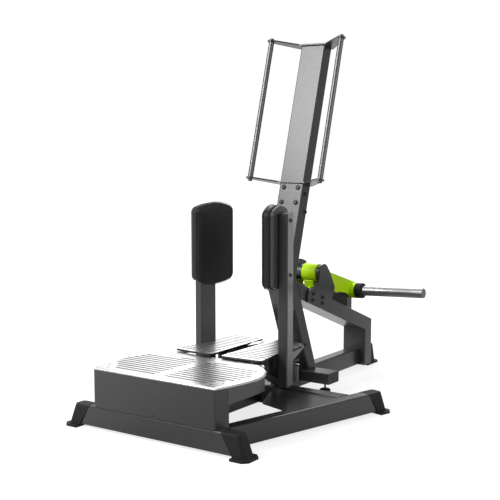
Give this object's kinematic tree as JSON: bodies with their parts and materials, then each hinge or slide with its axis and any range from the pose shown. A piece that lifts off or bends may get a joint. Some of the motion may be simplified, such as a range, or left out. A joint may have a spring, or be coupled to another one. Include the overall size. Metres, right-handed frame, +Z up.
{
  "type": "standing hip abductor machine",
  "caption": "Plate-loaded standing hip abductor: foot plates on two padded levers that swing outwards, a leaning column with hand rods, and a tilting arm with weight horns.",
  "frame": {"origin": "on the floor, under the middle of the bounding box", "axes": "+X to the right seen from the step, +Y from the step towards the weight arm, +Z up"},
  "size_m": [1.345, 2.132, 1.9303],
  "materials": {
    "powder_coat": "fine textured, satin",
    "lime_paint": "satin",
    "polished_plate": "bright, with raised grip marks",
    "chrome": "polished",
    "grip_steel": "dark, knurled",
    "rubber": "matte",
    "upholstery": "satin, fine grain",
    "board": "matte",
    "bare_steel": "turned"
  },
  "bodies": {
    "frame": {"front_cross_tube": "powder_coat", "left_side_tube": "powder_coat", "right_side_tube": "powder_coat", "rear_cross_tube": "powder_coat", "front_spine_tube": "powder_coat", "rear_spine_tube": "powder_coat", "left_stub_tube": "powder_coat", "right_stub_tube": "powder_coat", "left_floor_plate": "powder_coat", "right_floor_plate": "powder_coat", "front_left_cap": "rubber", "front_right_cap": "rubber", "rear_left_cap": "rubber", "rear_right_cap": "rubber", "spine_end_cap": "rubber", "step_tread_plate": "polished_plate", "step_shell": "powder_coat", "step_support_post": "powder_coat", "rear_tread_plate": "polished_plate", "lower_strut": "powder_coat", "upper_column": "powder_coat", "sloping_tube": "powder_coat", "rear_post": "powder_coat", "lower_handle_bracket": "powder_coat", "upper_handle_bracket": "powder_coat", "left_handle_rod": "grip_steel", "right_handle_rod": "grip_steel", "left_bearing_plate": "powder_coat", "right_bearing_plate": "powder_coat", "hub_shaft": "bare_steel", "stop_bracket": "powder_coat", "stop_bumper": "rubber", "left_pivot_shaft": "bare_steel", "right_pivot_shaft": "bare_steel", "crank_bracket": "powder_coat"},
    "left_lever": {"left_lever_base": "powder_coat", "left_pivot_housing": "powder_coat", "left_link_boss": "powder_coat", "left_lever_post": "powder_coat", "left_foot_plate": "polished_plate", "left_pad_board": "board", "left_pad_cushion": "upholstery"},
    "right_lever": {"right_lever_base": "powder_coat", "right_pivot_housing": "powder_coat", "right_link_boss": "powder_coat", "right_lever_post": "powder_coat", "right_foot_plate": "polished_plate", "right_pad_board": "board", "right_pad_cushion": "upholstery"},
    "left_link": {"left_link_rod": "bare_steel"},
    "right_link": {"right_link_rod": "bare_steel"},
    "crank": {"bell_crank": "powder_coat"},
    "arm": {"weight_arm": "lime_paint", "left_weight_horn": "chrome", "right_weight_horn": "chrome", "left_horn_collar": "rubber", "right_horn_collar": "rubber"},
    "draw_link": {"draw_rod": "bare_steel"},
    "left_foot": {"left_leveling_foot": "rubber"},
    "right_foot": {"right_leveling_foot": "rubber"}
  },
  "joints": [
    {"name": "right_lever_swing", "type": "hinge", "parent": "frame", "child": "right_lever", "pos_m": [0.11, -0.174, 0], "axis": [0, 0, 1], "range_deg": [0, 25]},
    {"name": "left_lever_swing", "type": "hinge", "parent": "frame", "child": "left_lever", "pos_m": [-0.11, -0.174, 0], "axis": [0, 0, -1], "range_deg": [0, 25]},
    {"name": "right_link_turn", "type": "hinge", "parent": "right_lever", "child": "right_link", "pos_m": [0.214, -0.179, 0.24], "axis": [0, 0, 1], "range_deg": [-26.8, 0]},
    {"name": "left_link_turn", "type": "hinge", "parent": "left_lever", "child": "left_link", "pos_m": [-0.214, -0.179, 0.24], "axis": [0, 0, -1], "range_deg": [-26.8, 0]},
    {"name": "crank_turn", "type": "hinge", "parent": "frame", "child": "crank", "pos_m": [0, 0.097, 0.17], "axis": [-1, 0, 0], "range_deg": [0, 30]},
    {"name": "arm_tilt", "type": "hinge", "parent": "frame", "child": "arm", "pos_m": [0, 0.356, 0.632], "axis": [1, 0, 0], "range_deg": [0, 12.5]},
    {"name": "draw_link_turn", "type": "hinge", "parent": "arm", "child": "draw_link", "pos_m": [0, 0.0676, 0.6017], "axis": [1, 0, 0], "range_deg": [-14.44, 0]},
    {"name": "left_foot_thread", "type": "slide", "parent": "frame", "child": "left_foot", "axis": [0, 0, 1], "range_m": [0, 0.012]},
    {"name": "right_foot_thread", "type": "slide", "parent": "frame", "child": "right_foot", "axis": [0, 0, 1], "range_m": [0, 0.012]}
  ],
  "couplings": [
    {"joint": "left_lever_swing", "follows": "right_lever_swing", "ratio": 1},
    {"joint": "right_link_turn", "follows": "right_lever_swing", "ratio": -1.069},
    {"joint": "left_link_turn", "follows": "right_lever_swing", "ratio": -1.069},
    {"joint": "crank_turn", "follows": "right_lever_swing", "ratio": 1.2},
    {"joint": "arm_tilt", "follows": "right_lever_swing", "ratio": 0.5},
    {"joint": "draw_link_turn", "follows": "right_lever_swing", "ratio": -0.5776}
  ]
}
